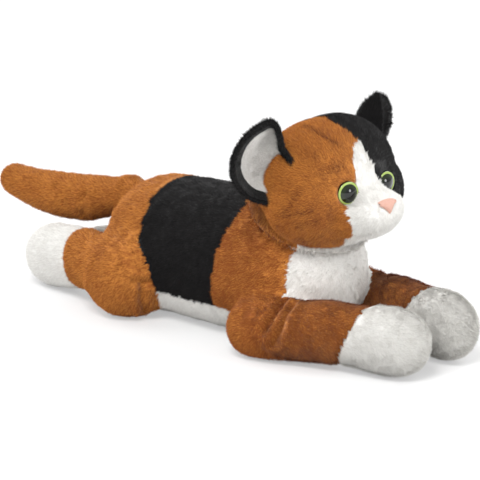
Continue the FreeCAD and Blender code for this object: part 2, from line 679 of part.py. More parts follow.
head_shell = cut("head_shell", seated_head("head_outer", "0"), seated_head("head_inner", "-skin"))
head_skin = cut_all("head_skin", head_shell, *post_holes)
cut_all("head_stuffing", seated_head("head_fill", "-skin - fill_gap"), *eye_pits)

FACE_OUTLINE = [("0", "blaze_top"), ("-blaze_half", "blaze_level"), ("-blaze_half", "-face_level / 2"),
                ("-face_half", "-face_level"), ("-face_half", "-cutter / 4"),
                ("face_half", "-cutter / 4"), ("face_half", "-face_level"),
                ("blaze_half", "-face_level / 2"), ("blaze_half", "blaze_level")]
face_outline = prism("face_prism", "YZ_Plane", FACE_OUTLINE, [None] * 9, "cutter")
placed(face_outline, HEAD)
ahead_of_ears = block("ahead_of_ears", HEAD)
face_cutter = common("face_cutter", face_outline, ahead_of_ears)
common("head_face_panel", head_skin, face_cutter)
coloured = cut("coloured_head", head_skin, face_cutter)
left_half = block("left_half", ("0", "0", "0"))
placed(left_half, ("-cutter / 2", "0", "-cutter / 2"))
common("head_black_panel", coloured, left_half)
cut("head_orange_panel", coloured, left_half)

NOSE_OUTLINE = [("0", "-nose_top - nose_drop"), ("nose_half", "-nose_top"), ("-nose_half", "-nose_top")]
nose_prism = placed(prism("nose_prism", "YZ_Plane", NOSE_OUTLINE, [None] * 3, "cutter"), HEAD)
nose_ahead = block("nose_ahead", (f"{HEAD[0]} + muzzle_forward", "0", "0"))
nose_blank = common("nose_blank", nose_prism, nose_ahead)
nose_front = common("nose_front", nose_blank, muzzle_form("nose_over", "fill_gap + nose_pile"))
cut("nose_stitching", nose_front, muzzle_form("nose_under", "fill_gap"))


# ------------------------------------------------------------------------------ ears
def leaf(name, margin):
    """Outline of an ear seen from its open side, its base along the vertical."""
    corners = [("-ear_sunk", f"-ear_base + {margin}"), ("0", f"-ear_base + {margin}"),
               (f"ear_back_out - {margin}", "ear_back_up"),
               (f"ear_tip_out - {margin}", f"ear_tip_up - {margin}"),
               ("0", f"ear_base - {margin}"), ("-ear_sunk", f"ear_base - {margin}")]
    rounds = [None, "ear_outer_round", "ear_top_round", "ear_inner_round", None, None]
    return prism(name, "YZ_Plane", corners, rounds, "cutter")


def cup(name, grow):
    centre = ("cup_shift_front", "cup_shift_out", "cup_shift_up")
    return ellipsoid(name, centre, [f"cup_{way} + {grow}" for way in ("depth", "out", "up")])


def ear_pose():
    """Place and turn of the left ear, its base along its own Z and its opening towards its own X."""
    x = f"{HEAD[0]} + ear_ahead * cos(ear_turn) - ear_out * sin(ear_turn)"
    y = "ear_ahead * sin(ear_turn) + ear_out * cos(ear_turn)"
    return f"placement(vector({x}; {y}; {HEAD[2]} + ear_up); rotation(ear_turn; 0; ear_lean))"


def ear_layer(name, outside, inside, margin):
    """One layer of an ear in place, clear of the head also when the ear is folded back."""
    shell = cut(f"{name}_cup", cup(f"{name}_outside", outside), cup(f"{name}_inside", inside))
    behind = cut(f"{name}_behind", shell, block(f"{name}_front", ("cup_shift_front", "0", "0")))
    flat = common(f"{name}_leaf_cup", behind, leaf(f"{name}_leaf", margin))
    layer = copy_of(f"{name}_blank", flat)
    layer.setExpression("Placement", cells(ear_pose()))
    fitted = cut_all(f"{name}_left", layer, head_room, folded_room)
    mirrored = doc.addObject("Part::Mirroring", f"{name}_right")
    mirrored.Source = fitted
    mirrored.Normal = Vector(0, 1, 0)


head_room = head_form("head_room", "ear_gap")
folded_room = copy_of("folded_room", head_room)
fold_line = f"{ear_pose()} * placement(vector(-ear_pivot; 0; 0); rotation(0; 0; 0))"
fold = "placement(vector(0; 0; 0); rotation(-ear_swing; 0; 0))"
folded_room.setExpression("Placement", cells(f"{fold_line} * {fold} * minvert({fold_line})"))
ear_layer("ear_back", "0", "-skin", "0")
ear_layer("ear_lining", "-skin - fill_gap / 2", "-skin - fill_gap / 2 - lining", "lining_margin")


# ------------------------------------------------------------------------------ checks and files
NODES = ["torso_rear_panel", "torso_saddle_panel", "torso_shoulder_panel", "torso_belly_panel",
         "torso_bib_panel", "torso_stuffing", "bean_pouch", "bean_fill", "neck_collar",
         "head_orange_panel", "head_black_panel", "head_face_panel", "head_stuffing",
         "nose_stitching", "tail_skin", "tail_stuffing"]
PAIRS = ["eye", "eye_washer", "ear_back", "ear_lining", "front_sleeve", "front_paw",
         "front_stuffing", "hind_sleeve", "hind_paw", "hind_stuffing"]
NODES += [f"{pair}_{side}" for pair in PAIRS for side in SIDES]

doc.recompute()
for thing in doc.Objects:
    if "Invalid" in thing.State or "Error" in thing.State:
        raise RuntimeError(f"{thing.Name} failed: {thing.State}")
for name in NODES:
    shape = doc.getObject(name).Shape
    if shape.isNull() or not shape.isValid() or not shape.Solids:
        raise RuntimeError(f"{name} has no valid solid")

os.makedirs("parts", exist_ok=True)
for name in NODES:
    doc.getObject(name).Shape.exportStep(f"parts/{name}.step")
    print(name, len(doc.getObject(name).Shape.Solids), round(doc.getObject(name).Shape.Volume))
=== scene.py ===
"""Looks of the plush calico cat: sewn and stuffed pile fabric, moulded eyes and a stitched nose.

Every soft body starts from its own solids. They are fused into one form, swollen like stuffed
cloth, creased along its folds and parted into the panels that it is sewn from. Each panel then
gets its pile: short strands combed one way, in a few tones of the panel's colour.
Lengths are written in millimetres and turned into metres by MM.
"""

import json
import math

import bpy
import numpy as np
from mathutils import Matrix, Vector, noise
from mathutils.bvhtree import BVHTree


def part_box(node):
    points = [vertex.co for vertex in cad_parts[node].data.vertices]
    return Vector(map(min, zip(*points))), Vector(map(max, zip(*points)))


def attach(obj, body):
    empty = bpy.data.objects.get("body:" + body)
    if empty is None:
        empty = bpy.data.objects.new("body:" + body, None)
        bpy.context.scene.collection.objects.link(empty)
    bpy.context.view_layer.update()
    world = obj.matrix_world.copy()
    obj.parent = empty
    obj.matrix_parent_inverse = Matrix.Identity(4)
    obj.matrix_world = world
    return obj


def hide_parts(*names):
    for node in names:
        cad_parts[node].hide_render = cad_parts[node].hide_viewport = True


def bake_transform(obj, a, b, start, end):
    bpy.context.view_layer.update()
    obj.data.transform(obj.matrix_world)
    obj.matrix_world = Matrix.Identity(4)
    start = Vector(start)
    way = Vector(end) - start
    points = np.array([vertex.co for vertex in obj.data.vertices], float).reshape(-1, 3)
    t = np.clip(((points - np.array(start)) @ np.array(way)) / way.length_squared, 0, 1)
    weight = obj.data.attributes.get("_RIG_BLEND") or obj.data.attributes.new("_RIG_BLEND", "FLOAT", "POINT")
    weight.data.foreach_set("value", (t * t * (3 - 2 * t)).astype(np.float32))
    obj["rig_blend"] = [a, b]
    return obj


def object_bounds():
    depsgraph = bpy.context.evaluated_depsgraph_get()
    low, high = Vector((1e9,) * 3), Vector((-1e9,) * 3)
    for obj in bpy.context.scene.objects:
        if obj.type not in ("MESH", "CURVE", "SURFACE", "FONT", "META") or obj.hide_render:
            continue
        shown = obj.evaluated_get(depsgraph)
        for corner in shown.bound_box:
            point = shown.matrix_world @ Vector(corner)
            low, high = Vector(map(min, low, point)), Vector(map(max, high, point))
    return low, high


MM = 0.001
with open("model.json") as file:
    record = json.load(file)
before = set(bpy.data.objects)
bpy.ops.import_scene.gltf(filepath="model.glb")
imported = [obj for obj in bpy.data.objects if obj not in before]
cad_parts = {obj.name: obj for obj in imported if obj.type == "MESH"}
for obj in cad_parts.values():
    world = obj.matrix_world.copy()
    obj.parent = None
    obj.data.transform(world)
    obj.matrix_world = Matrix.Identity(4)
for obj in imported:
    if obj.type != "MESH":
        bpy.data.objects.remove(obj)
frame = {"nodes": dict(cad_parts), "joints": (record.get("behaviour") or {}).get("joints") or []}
cad_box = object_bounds()
nodes = frame["nodes"]
SIDES = {"left": 1, "right": -1}

# ------------------------------------------------------------------------------ places on the cat
REAR_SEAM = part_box("torso_saddle_panel")[0].x
FRONT_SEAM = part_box("torso_shoulder_panel")[0].x
REAR_LEAN = -0.16
FRONT_LEAN = 0.17
BELLY_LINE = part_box("torso_belly_panel")[1].z
BIB_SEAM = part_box("torso_bib_panel")[0].x
NOSE_LOW, NOSE_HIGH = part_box("nose_stitching")
NOSE = (NOSE_LOW + NOSE_HIGH) / 2
PIVOTS = {joint["child"]: Vector(joint["pos_m"]) for joint in frame["joints"]}
HEAD = PIVOTS["head"]


# ------------------------------------------------------------------------------ node trees
class Wire:
    """The output of a node. Sums and products of wires and numbers add Math nodes."""

    def __init__(self, tree, socket):
        self.tree = tree
        self.socket = socket

    def maths(self, operation, first, second, clamp=False):
        settings = {"operation": operation, "use_clamp": clamp}
        return self.tree.node("ShaderNodeMath", settings, {0: first, 1: second})

    def __add__(self, other):
        return self.maths("ADD", self, other)

    def __radd__(self, other):
        return self.maths("ADD", other, self)

    def __sub__(self, other):
        return self.maths("SUBTRACT", self, other)

    def __rsub__(self, other):
        return self.maths("SUBTRACT", other, self)

    def __mul__(self, other):
        return self.maths("MULTIPLY", self, other)

    def __rmul__(self, other):
        return self.maths("MULTIPLY", other, self)


class Tree:
    """A node tree that is written as expressions."""

    def __init__(self, nodes_of):
        self.tree = nodes_of
        self.tree.nodes.clear()

    def node(self, kind, settings=None, sockets=None, output=0):
        """Add any node: its settings first, then the values or wires of its sockets."""
        made = self.tree.nodes.new(kind)
        for name, value in (settings or {}).items():
            setattr(made, name, value)
        for name, value in (sockets or {}).items():
            if isinstance(value, Wire):
                self.tree.links.new(value.socket, made.inputs[name])
            else:
                made.inputs[name].default_value = value
        return Wire(self, made.outputs[output]) if made.outputs else made

    def steps(self, value, low, high):
        """0 below low, 1 above high and smooth between them."""
        settings = {"interpolation_type": "SMOOTHSTEP"}
        return self.node("ShaderNodeMapRange", settings, {"Value": value, 1: low, 2: high})

    def mixed(self, share, first, second):
        """A colour between two colours."""
        settings = {"data_type": "RGBA"}
        return self.node("ShaderNodeMix", settings, {0: share, 6: first, 7: second}, 2)

    def cloud(self, place, size, detail=2.0):
        """Soft noise whose spots are about one size across."""
        sockets = {"Vector": place, "Scale": 1 / size, "Detail": detail}
        return self.node("ShaderNodeTexNoise", {}, sockets)


def rgb(red, green, blue):
    """A colour written as it looks on a screen, from 0 to 255, as light."""
    def light(value):
        value /= 255
        return value / 12.92 if value <= 0.04045 else ((value + 0.055) / 1.055) ** 2.4
    return light(red), light(green), light(blue), 1.0


def plain_material(name, colour, roughness, **constants):
    """One colour on the shader's own sockets, as pile strands have."""
    material = bpy.data.materials.new(name)
    material.use_nodes = True
    shader = material.node_tree.nodes["Principled BSDF"]
    shader.inputs["Base Color"].default_value = colour
    shader.inputs["Roughness"].default_value = roughness
    for socket, value in constants.items():
        shader.inputs[socket.replace("_", " ")].default_value = value
    return material


def finished_material(name, paint, **constants):
    """A material whose colour, roughness and bumps a function paints."""
    material = bpy.data.materials.new(name)
    material.use_nodes = True
    tree = Tree(material.node_tree)
    place = tree.node("ShaderNodeTexCoord", output="Object")
    colour, roughness, height, depth = paint(tree, place)
    normal = tree.node("ShaderNodeBump", {}, {"Height": height, "Distance": depth, "Strength": 1.0})
    sockets = {"Base Color": colour, "Roughness": roughness, "Normal": normal}
    sockets.update({socket.replace("_", " "): value for socket, value in constants.items()})
    shader = tree.node("ShaderNodeBsdfPrincipled", {}, sockets)
    tree.node("ShaderNodeOutputMaterial", {}, {"Surface": shader})
    return material


# ------------------------------------------------------------------------------ finishes
ORANGE = rgb(200, 130, 58)
GINGER = rgb(148, 82, 34)
BROWN = rgb(118, 62, 28)
BLACK = rgb(10, 9, 9)
SOOT = rgb(22, 20, 21)
WHITE = rgb(240, 239, 235)
CREAM = rgb(224, 222, 218)


def backing(name, colour, shade, airbrush_and_crease_shade=None):
    """The pile fabric's ground, mottled where its pile parts."""
    def paint(tree, place):
        tufts = tree.cloud(place, 3 * MM)
        drift = tree.cloud(place, 30 * MM)
        share = tree.steps(tufts * 0.6 + drift * 0.5, 0.35, 0.75)
        painted = tree.mixed(share, shade, colour)
        if airbrush_and_crease_shade:
            # Brown marks on the orange ground: the fabric's markings, and on the cheek painted shade of its
            # creases.
            mark = tree.node("ShaderNodeAttribute", {"attribute_name": "stripe"}, output="Fac")
            painted = tree.mixed(mark, painted, airbrush_and_crease_shade)
        return painted, 0.8 + tufts * 0.2, tree.cloud(place, 0.9 * MM), 0.6 * MM
    return finished_material(name, paint, Sheen_Weight=0.2, Specular_IOR_Level=0.15)


def pile_finish(name, colour):
    return plain_material(name, colour, 0.85, Sheen_Weight=0.12, Specular_IOR_Level=0.2)


grounds = {
    "orange": backing("orange_backing", ORANGE, GINGER, BROWN),
    "black": backing("black_backing", SOOT, BLACK),
    "white": backing("white_backing", WHITE, CREAM),
}
piles = {
    "orange": {"fair": pile_finish("orange_pile", ORANGE), "deep": pile_finish("ginger_pile", GINGER)},
    "black": {"fair": pile_finish("soot_pile", SOOT), "deep": pile_finish("black_pile", BLACK)},
    "white": {"fair": pile_finish("white_pile", WHITE), "deep": pile_finish("cream_pile", CREAM)},
}
# Brown strands for the head's brown marks, which on the cheek are painted shade of its creases.
stripe_and_crease_shade_pile = pile_finish("brown_pile", BROWN)


# ------------------------------------------------------------------------------ mesh helpers
def only(piece):
    """Select one object and make it the active one."""
    bpy.ops.object.select_all(action="DESELECT")
    piece.select_set(True)
    bpy.context.view_layer.objects.active = piece
    return piece


def modified(piece, kind, **settings):
    """Add a modifier and apply it."""
    only(piece)
    modifier = piece.modifiers.new(kind.lower(), kind)
    for name, value in settings.items():
        setattr(modifier, name, value)
    bpy.ops.object.modifier_apply(modifier=modifier.name)
    return piece


def points(piece):
    """The places of a mesh's corners, one row each."""
    rows = np.empty(len(piece.data.vertices) * 3, np.float32)
    piece.data.vertices.foreach_get("co", rows)
    return rows.reshape(-1, 3).astype(float)


def set_points(piece, places):
    piece.data.vertices.foreach_set("co", places.astype(np.float32).ravel())
    piece.data.update()


def normals(piece):
    rows = np.empty(len(piece.data.vertices) * 3, np.float32)
    piece.data.vertex_normals.foreach_get("vector", rows)
    return rows.reshape(-1, 3).astype(float)


def copied(piece, name):
    twin = piece.copy()
    twin.data = piece.data.copy()
    twin.name = name
    twin.parent = None
    for key in list(twin.keys()):
        del twin[key]
    twin.hide_render = False
    twin.hide_viewport = False
    bpy.context.scene.collection.objects.link(twin)
    return twin


def merged(piece, gap):
    """Join the corners of a mesh that lie on each other."""
    only(piece)
    bpy.ops.object.mode_set(mode="EDIT")
    bpy.ops.mesh.select_all(action="SELECT")
    bpy.ops.mesh.remove_doubles(threshold=gap)
    bpy.ops.object.mode_set(mode="OBJECT")
    return piece


def fused_form(name, parts, voxel):
    """Copies of solids that touch, made one closed form of even faces."""
    twins = [copied(nodes[part], f"{name}_{part}") for part in parts]
    bpy.ops.object.select_all(action="DESELECT")
    for twin in twins:
        twin.select_set(True)
    bpy.context.view_layer.objects.active = twins[0]
    if len(twins) > 1:
        bpy.ops.object.join()
    form = twins[0]
    form.name = name
    form.data.materials.clear()
    merged(form, 0.01 * MM)
    modified(form, "REMESH", mode="VOXEL", voxel_size=voxel)
    return outer_shell(form)


def outer_shell(form):
    """Keep the largest of a form's loose parts, without what is shut inside it."""
    only(form)
    bpy.ops.object.mode_set(mode="EDIT")
    bpy.ops.mesh.select_all(action="SELECT")
    bpy.ops.mesh.separate(type="LOOSE")
    bpy.ops.object.mode_set(mode="OBJECT")
    parts = list(bpy.context.selected_objects)
    name = form.name
    largest = max(parts, key=lambda part: len(part.data.vertices))
    for part in parts:
        if part is not largest:
            bpy.data.objects.remove(part)
    largest.name = name
    return largest


def stuffed(form, pinned, pressure=4.0, cap=3 * MM):
    """Swell a form as cloth under its stuffing: outwards only, up to a cap, and not where it is pinned."""
    before = points(form)
    outward = normals(form)
    held = form.vertex_groups.new(name="held")
    held.add([int(index) for index in np.flatnonzero(pinned(before))], 1.0, "REPLACE")
    only(form)
    cloth = form.modifiers.new("stuffing", "CLOTH")
    cloth.settings.quality = 4
    cloth.settings.mass = 0.2
    cloth.settings.vertex_group_mass = held.name
    cloth.settings.use_pressure = True
    cloth.settings.uniform_pressure_force = pressure
    cloth.settings.effector_weights.gravity = 0.0
    cloth.collision_settings.use_collision = False
    for count in range(1, 21):
        bpy.context.scene.frame_set(count)
    bpy.ops.object.modifier_apply(modifier=cloth.name)
    bpy.context.scene.frame_set(1)
    form.vertex_groups.clear()
    rise = np.einsum("ij,ij->i", points(form) - before, outward)
    set_points(form, before + outward * np.clip(rise, 0, cap)[:, None])
    return modified(form, "SMOOTH", factor=0.5, iterations=3)


def distance_to(places, line):
    """How far each place is from a line of points in millimetres."""
    line = np.array(line, float) * MM
    near = np.full(len(places), 1.0)
    for start, end in zip(line, line[1:]):
        stretch = end - start
        share = np.clip((places - start) @ stretch / (stretch @ stretch), 0, 1)
        near = np.minimum(near, np.linalg.norm(places - start - np.outer(share, stretch), axis=1))
    return near


def dent(distance, half_width):
    return np.exp(-(distance / (half_width * MM)) ** 2)


def creased(form, folds):
    """Press folds into a form. Each is (points along it, half width, depth), with soft lips beside it."""
    places = points(form)
    press = np.zeros(len(places))
    for line, half_width, depth in folds:
        near = distance_to(places, line)
        press += depth * MM * (dent(near, half_width) - 0.45 * dent(near - 2.1 * half_width * MM, half_width))
    set_points(form, places - normals(form) * press[:, None])
    return form


def filled(form, share, rounds=70):
    """Fill the creases where limbs meet the trunk, as one cloth spans them. Round forms stay."""
    ends = np.empty(len(form.data.edges) * 2, np.int32)
    form.data.edges.foreach_get("vertices", ends)
    first, second = ends.reshape(-1, 2).T
    count = len(form.data.vertices)
    degree = np.bincount(first, minlength=count) + np.bincount(second, minlength=count)
    places = points(form)
    for _ in range(rounds):
        around = np.empty_like(places)
        for axis in range(3):
            column = places[:, axis]
            around[:, axis] = np.bincount(first, column[second], count)
            around[:, axis] += np.bincount(second, column[first], count)
        outward = normals(form)
        rise = np.einsum("ij,ij->i", around / degree[:, None] - places, outward)
        places = places + outward * (np.maximum(rise, 0) * share)[:, None]
        set_points(form, places)
    return form


def settled(form, floor=0.6 * MM):
    """Flatten what would reach below the surface that the cat lies on."""
    places = points(form)
    places[:, 2] = np.maximum(places[:, 2], floor)
    set_points(form, places)
    return form


def scattered(places, size, seed):
    """Smooth noise from -1 to 1 at each place."""
    shift = Vector((seed * 7.3, seed * 3.1, seed * 5.7))
    return np.array([noise.noise(Vector(place) / size + shift) for place in places])


def face_centres(form):
    rows = np.empty(len(form.data.polygons) * 3, np.float32)
    form.data.polygons.foreach_get("center", rows)
    return rows.reshape(-1, 3).astype(float)


def panel(form, name, chosen):
    """A copy of a form that keeps only the chosen faces, as a cut piece of cloth."""
    piece = copied(form, name)
    only(piece)
    bpy.context.tool_settings.mesh_select_mode = (False, False, True)
    bpy.ops.object.mode_set(mode="EDIT")
    bpy.ops.mesh.select_all(action="DESELECT")
    bpy.ops.object.mode_set(mode="OBJECT")
    piece.data.polygons.foreach_set("select", ~chosen)
    bpy.ops.object.mode_set(mode="EDIT")
    bpy.ops.mesh.delete(type="FACE")
    bpy.ops.object.mode_set(mode="OBJECT")
    return piece


def ramp(value, low, high):
    """0 below low, 1 above high and smooth between them."""
    share = np.clip((value - low) / (high - low), 0, 1)
    return share * share * (3 - 2 * share)


def note(piece, name, values):
    """Keep a number or a direction at each corner of a mesh."""
    kind, field = ("FLOAT", "value") if values.ndim == 1 else ("FLOAT_VECTOR", "vector")
    kept = piece.data.attributes.new(name, kind, "POINT")
    kept.data.foreach_set(field, values.astype(np.float32).ravel())


# ------------------------------------------------------------------------------ pile
STRAND_LENGTH = 3.2
STRAND_WIDTH = 0.42
TUFT_DENSITY = 2.5
CLOTH = 1.4 * MM
BARE_HEIGHT = 2.5 * MM
MOTTLE = 16 * MM


def strand_blade():
    """One strand: a slim triangle, its root at the origin and its tip one unit up."""
    bpy.ops.mesh.primitive_circle_add(vertices=3, radius=1.0, fill_type="NGON")
    blade = bpy.context.object
    blade.name = "strand"
    slim = Matrix.Diagonal((STRAND_WIDTH / STRAND_LENGTH / math.sqrt(3), 1 / 1.5, 1.0, 1.0))
    upright = Matrix.Rotation(math.radians(90), 4, "X")
    blade.data.transform(upright @ slim @ Matrix.Translation((0, 0.5, 0)))
    return blade


blade = strand_blade()


def grow(skin, name, finish, density, length, seed, shares, stand, swirl):
    """Strands of one tone on a skin, combed along its 'comb' directions. density is per square mm.

    shares are the skin's own numbers that thin the strands out, each as it is or as what it leaves.
    stand is how far the pile stands up from the skin, and swirl how much its tufts turn aside.
    """
    pile = copied(skin, name)
    group = bpy.data.node_groups.new(name, "GeometryNodeTree")
    for way in ("INPUT", "OUTPUT"):
        group.interface.new_socket("Geometry", in_out=way, socket_type="NodeSocketGeometry")
    tree = Tree(group)

    def kept(title, kind="FLOAT"):
        return tree.node("GeometryNodeInputNamedAttribute", {"data_type": kind}, {"Name": title})

    def vector(operation, first, second):
        sockets = {0: first, 3 if operation == "SCALE" else 1: second}
        return tree.node("ShaderNodeVectorMath", {"operation": operation}, sockets)

    ground = tree.node("NodeGroupInput")
    thick = kept("growth") * (density / MM ** 2 * 1.0)
    for title, present in shares:
        thick = thick * (kept(title) if present else 1 - kept(title))
    spread = tree.node("GeometryNodeDistributePointsOnFaces", {},
                       {"Mesh": ground, "Density": thick, "Seed": seed})
    outward = Wire(tree, spread.socket.node.outputs["Normal"])
    place = tree.node("GeometryNodeInputPosition")
    tuft = tree.node("ShaderNodeTexNoise", {}, {"Vector": place, "Scale": 1 / (6 * MM)}, "Color")
    tuft = vector("SCALE", vector("SUBTRACT", tuft, (0.5, 0.5, 0.5)), swirl * 2.4)
    low, high = (-0.4,) * 3, (0.4,) * 3
    stray = tree.node("FunctionNodeRandomValue", {"data_type": "FLOAT_VECTOR"},
                      {0: low, 1: high, "Seed": seed + 1})
    heading = vector("ADD", vector("SCALE", outward, stand), kept("comb", "FLOAT_VECTOR"))
    heading = vector("ADD", heading, vector("ADD", tuft, stray))
    turn = tree.node("FunctionNodeAlignRotationToVector", {"axis": "Z"}, {"Vector": heading})
    turn = tree.node("FunctionNodeAlignRotationToVector", {"axis": "Y", "pivot_axis": "Z"},
                     {"Rotation": turn, "Vector": outward})
    wide = 1.0
    size = tree.node("FunctionNodeRandomValue", {"data_type": "FLOAT"},
                     {2: 0.7 * length * MM, 3: 1.15 * length * MM, "Seed": seed + 2}, 1)
    size = tree.node("ShaderNodeCombineXYZ", {}, {"X": size * wide, "Y": size, "Z": size})
    strand = tree.node("GeometryNodeObjectInfo", {}, {"Object": blade}, "Geometry")
    rows = tree.node("GeometryNodeInstanceOnPoints", {},
                     {"Points": spread, "Instance": strand, "Rotation": turn, "Scale": size})
    strands = tree.node("GeometryNodeRealizeInstances", {}, {"Geometry": rows})
    tree.node("NodeGroupOutput", {}, {"Geometry": strands})
    only(pile)
    grown = pile.modifiers.new("pile", "NODES")
    grown.node_group = group
    bpy.ops.object.modifier_apply(modifier=grown.name)
    pile.data.materials.clear()
    pile.data.materials.append(finish)
    for spare in list(pile.data.attributes):
        if not spare.is_required and not spare.is_internal:
            pile.data.attributes.remove(spare)
    if len(pile.data.vertices) == 0:
        bpy.data.objects.remove(pile)
        return None
    return settled(pile, 0.1 * MM)


def dressed(skin, body, colour, replaced, comb, seed, length=STRAND_LENGTH, density=5.5, stripe=None,
            tuft=None, stand=0.45, swirl=0.6, cloth=True, dark=0.0, hidden=None):
    """Give a panel its pile, its thickness and its finish, and join it to its body.

    body is one body's name, or two names with the start and the end of the bend between them. comb,
    stripe, tuft and hidden are functions of places: the way that the pile lies, how brown it
    is (its brown markings, and on the cheek painted shade of its creases), how much longer hair it has, and
    where it has none. dark is the share of fair strands left out.
    """
    places = points(skin)
    note(skin, "comb", comb(places))
    bare = (places[:, 2] < BARE_HEIGHT) & (normals(skin)[:, 2] < -0.3)
    if hidden is not None:
        bare |= hidden(places, normals(skin))
    note(skin, "growth", np.where(bare, 0.0, 1.0))
    drift = 0.5 + 0.5 * scattered(places, MOTTLE, seed)
    note(skin, "tone", np.clip(0.3 + 0.5 * drift - dark, 0, 1))
    marks = []
    name = skin.name
    strands = []
    # Brown marks in strands of their own: markings, and on the cheek painted shade of its creases.
    if stripe is not None:
        note(skin, "stripe", stripe(places))
        marks = [("stripe", False)]
        strands.append(grow(skin, f"{name}_stripes", stripe_and_crease_shade_pile, density, length, seed + 50,
                            [("stripe", True)], stand, swirl))
    if tuft is not None:
        note(skin, "tuft", tuft(places))
        strands.append(grow(skin, f"{name}_tuft", piles[colour]["deep"], TUFT_DENSITY, 1.6 * length,
                            seed + 70, [("tuft", True)], 0.3, 0.5))
    for count, (tone, finish) in enumerate(piles[colour].items()):
        strands.append(grow(skin, f"{name}_pile_{tone}", finish, density, length, seed + 10 * count,
                            [("tone", tone == "fair")] + marks, stand, swirl))
    if cloth:
        modified(skin, "SOLIDIFY", thickness=CLOTH, offset=-1.0)
    skin.data.materials.clear()
    skin.data.materials.append(grounds[colour])
    only(skin)
    bpy.ops.object.shade_smooth()
    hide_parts(*replaced)
    for piece in [skin] + [pile for pile in strands if pile]:
        if isinstance(body, str):
            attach(piece, body)
        else:
            near, far, start, end = body
            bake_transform(piece, near, far, start=start, end=end)
    return skin


def along(x, y, z):
    """A comb that runs one way all over."""
    return lambda places: np.tile((x, y, z), (len(places), 1))


def away_from(centre):
    """A comb that runs away from a point."""
    def comb(places):
        ray = places - np.array(centre)
        return ray / np.linalg.norm(ray, axis=1, keepdims=True)
    return comb


def towards(centre):
    """A comb that runs to a point."""
    return lambda places: -away_from(centre)(places)


# ------------------------------------------------------------------------------ trunk, legs and tail
TORSO_NODES = ["torso_rear_panel", "torso_saddle_panel", "torso_shoulder_panel", "torso_belly_panel",
               "torso_bib_panel"]
TORSO_PANELS = [("torso_rear", "orange"), ("torso_saddle", "black"), ("torso_shoulders", "orange"),
                ("torso_belly", "white"), ("torso_bib", "white")]
BODY_COMB = np.array((-0.75, 0.0, -0.5))
FRONT_SHADE = 0.36
LEGS = {
    "front": {"bend": (22, 52), "groove": 2.0, "slant": 0.45, "taller": {"left": 0.2, "right": 0.2}},
    "hind": {"bend": (18, 46), "groove": 2.2, "slant": 0.0, "taller": {"left": -0.12, "right": 0.2}},
}


class Leg:
    """Where one leg lies: its root, the way that it points and how far a place is along it."""

    def __init__(self, kind, side):
        self.kind = kind
        self.side = side
        self.body = f"{kind}_leg_{side}"
        self.nodes = [f"{kind}_{part}_{side}" for part in ("sleeve", "paw", "stuffing")]
        self.root = np.array(PIVOTS[self.body])
        low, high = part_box(self.nodes[1])
        self.way = np.array((low + high) / 2) - self.root
        self.way /= np.linalg.norm(self.way)
        corners = np.array([corner.co for corner in nodes[self.nodes[1]].data.vertices])
        self.seam = self.reach(corners).min()

    def reach(self, places):
        return (places - self.root) @ self.way

    def past_seam(self, places):
        """How far each place is beyond the paw's seam, which slants back towards the ground."""
        slant = LEGS[self.kind]["slant"] * (places[:, 2] - 20 * MM)
        return self.reach(places) - self.seam - slant

    def at(self, reach):
        """The point on the leg's line at a reach in millimetres."""
        return tuple(self.root + self.way * (1, 1, 0) * reach * MM)

    def comb(self, places):
        """Like the trunk's at the leg's root, and towards the toes further on."""
        share = ramp(self.reach(places), -5 * MM, 35 * MM)[:, None]
        return BODY_COMB * (1 - share) + (self.way * (1, 1, 0.6) + (0, 0, -0.25)) * share


legs = [Leg(kind, side) for kind in LEGS for side in SIDES]


def nearest_of(groups, places):
    """Which group of solids each place is nearest to."""
    graph = bpy.context.evaluated_depsgraph_get()
    far = []
    for group in groups:
        trees = [BVHTree.FromObject(nodes[name], graph) for name in group]
        far.append([min(tree.find_nearest(place)[3] for tree in trees) for place in places])
    return np.argmin(far, axis=0)


def rear_seam_at(places):
    return REAR_SEAM + (places[:, 2] - 2 * BELLY_LINE) * REAR_LEAN


def front_seam_at(places):
    return FRONT_SEAM - 4.6 * MM + (places[:, 2] - BELLY_LINE) * FRONT_LEAN


def torso_seams(places):
    """How far each place is from the nearest seam of the trunk."""
    gaps = [places[:, 0] - rear_seam_at(places), places[:, 0] - front_seam_at(places),
            places[:, 0] - BIB_SEAM, places[:, 2] - BELLY_LINE]
    return np.abs(gaps).min(axis=0)


def torso_panel_at(places):
    jag = scattered(places, 3 * MM, 4) * 1.6 * MM
    belly = places[:, 2] + jag < BELLY_LINE
    bib = places[:, 0] + 0.4 * jag > BIB_SEAM
    rear = places[:, 0] + 0.6 * jag < rear_seam_at(places)
    front = places[:, 0] + 0.6 * jag > front_seam_at(places)
    return np.select([bib, belly, rear, front], [4, 3, 0, 2], 1)


def plumped(form, owner):
    """Slack limbs: a leg that lies on its stuffing is taller or flatter than a straight tube."""
    places = points(form)
    for count, leg in enumerate(legs):
        taller = LEGS[leg.kind]["taller"][leg.side]
        places[:, 2] *= 1 + taller * ramp(leg.reach(places), 15 * MM, 60 * MM) * (owner == count + 1)
    tail = (owner == len(legs) + 1) * ramp(PIVOTS["tail"].x - places[:, 0], 0, 40 * MM)
    places += normals(form) * (1, 1, 1.2) * (tail * 2.6 * MM)[:, None]
    set_points(form, places)


